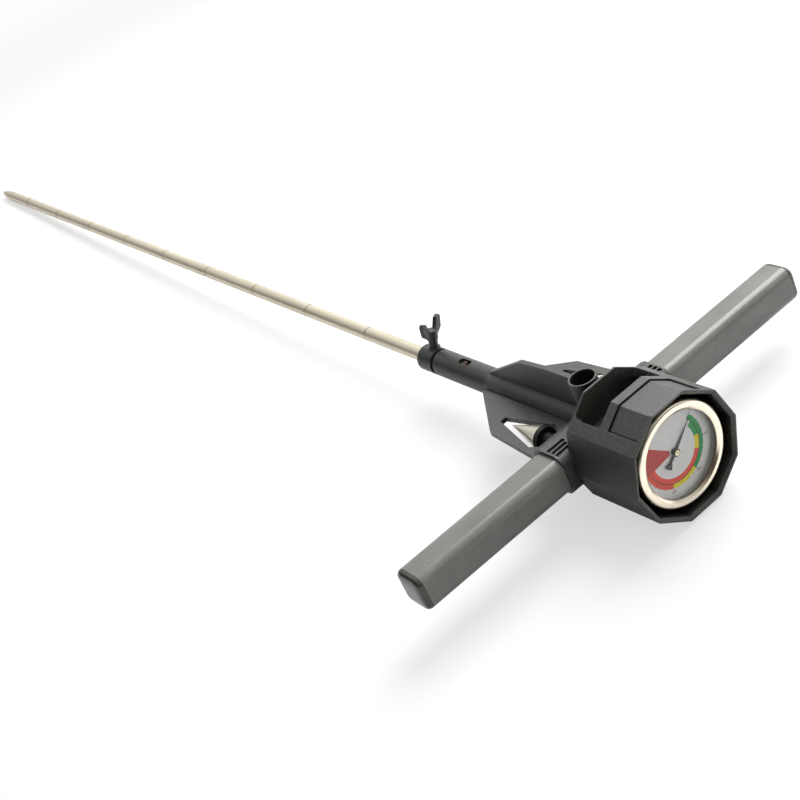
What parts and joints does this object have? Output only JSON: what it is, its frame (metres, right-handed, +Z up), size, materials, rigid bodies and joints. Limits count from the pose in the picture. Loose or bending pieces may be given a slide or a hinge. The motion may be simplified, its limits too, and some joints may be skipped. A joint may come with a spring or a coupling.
{
  "type": "soil penetrometer",
  "caption": "T-handled soil penetrometer: a long probe rod with depth rings, clamped in a plunger that works a dial pressure gauge in a faceted cup, with spare cones stored in side wings.",
  "frame": {"origin": "middle of the gauge cup's bottom facet, on which the tool lies", "axes": "+X from the rod's point to the gauge, +Y along the handle, +Z up through the cup's badge"},
  "size_m": [0.976, 0.282, 0.0685],
  "materials": {
    "body_plastic": "fine grained black moulding",
    "tube_plastic": "smooth dark moulding",
    "cap_plastic": "smooth dark moulding",
    "knob_plastic": "smooth black moulding",
    "handle_paint": "satin grey",
    "rod_steel": "satin drawn stainless",
    "bright_steel": "turned",
    "screw_steel": "bright zinc",
    "case_steel": "satin",
    "bezel_steel": "satin, warm",
    "movement_brass": "machined",
    "lens_glass": "clear",
    "dial_paint": "matt light grey with printed bands",
    "needle_paint": "matt black",
    "black_rubber": "matt"
  },
  "bodies": {
    "chassis": {"body_upper_shell": "body_plastic", "body_lower_shell": "body_plastic", "fill_port": "body_plastic", "gauge_cup": "body_plastic", "badge_plate": "body_plastic", "guide_tube": "tube_plastic", "end_cap_left": "cap_plastic", "end_cap_right": "cap_plastic", "handle_bar_left": "handle_paint", "handle_bar_right": "handle_paint", "pressure_cell": "bright_steel", "fill_plug": "screw_steel", "body_screws": "screw_steel", "handle_screws": "screw_steel", "gauge_case": "case_steel", "gauge_bezel": "bezel_steel", "gauge_stem": "movement_brass", "bourdon_tube": "movement_brass", "movement_frame": "movement_brass", "gland_nut": "movement_brass", "gauge_lens": "lens_glass", "dial_plate": "dial_paint", "lens_gasket": "black_rubber", "cone_post_left": "black_rubber", "cone_post_right": "black_rubber"},
    "plunger": {"plunger": "tube_plastic", "piston": "bright_steel", "piston_seal": "black_rubber", "guide_screw": "screw_steel"},
    "rod": {"probe_rod": "rod_steel", "rod_point": "bright_steel"},
    "clamp": {"wing_screw": "knob_plastic"},
    "pointer": {"pointer_shaft": "screw_steel", "needle": "needle_paint", "needle_screw": "movement_brass"},
    "sector": {"sector_gear": "movement_brass"},
    "cone_left": {"spare_cone_left": "bright_steel"},
    "cone_right": {"spare_cone_right": "bright_steel"}
  },
  "joints": [
    {"name": "probe_press", "type": "slide", "parent": "chassis", "child": "plunger", "axis": [1, 0, 0], "range_m": [0, 0.0025], "stiffness_N_per_m": 4000},
    {"name": "rod_withdraw", "type": "slide", "parent": "plunger", "child": "rod", "axis": [-1, 0, 0], "range_m": [0, 0.03]},
    {"name": "clamp_turn", "type": "hinge", "parent": "plunger", "child": "clamp", "pos_m": [-0.19218, 0, 0.03424], "axis": [0, 0.2588, 0.9659], "range_deg": [0, 360]},
    {"name": "pointer_turn", "type": "hinge", "parent": "chassis", "child": "pointer", "pos_m": [0.01555, 0, 0.03424], "axis": [-1, 0, 0], "range_deg": [0, 250]},
    {"name": "sector_turn", "type": "hinge", "parent": "chassis", "child": "sector", "pos_m": [0.01105, 0, 0.01977], "axis": [1, 0, 0], "range_deg": [0, 31.25]},
    {"name": "cone_left_unscrew", "type": "slide", "parent": "chassis", "child": "cone_left", "axis": [-1, 0, 0], "range_m": [0, 0.006]},
    {"name": "cone_right_unscrew", "type": "slide", "parent": "chassis", "child": "cone_right", "axis": [-1, 0, 0], "range_m": [0, 0.006]}
  ],
  "couplings": [
    {"joint": "pointer_turn", "follows": "probe_press", "rad_per_m": 1745.3},
    {"joint": "sector_turn", "follows": "probe_press", "rad_per_m": 218.17}
  ]
}
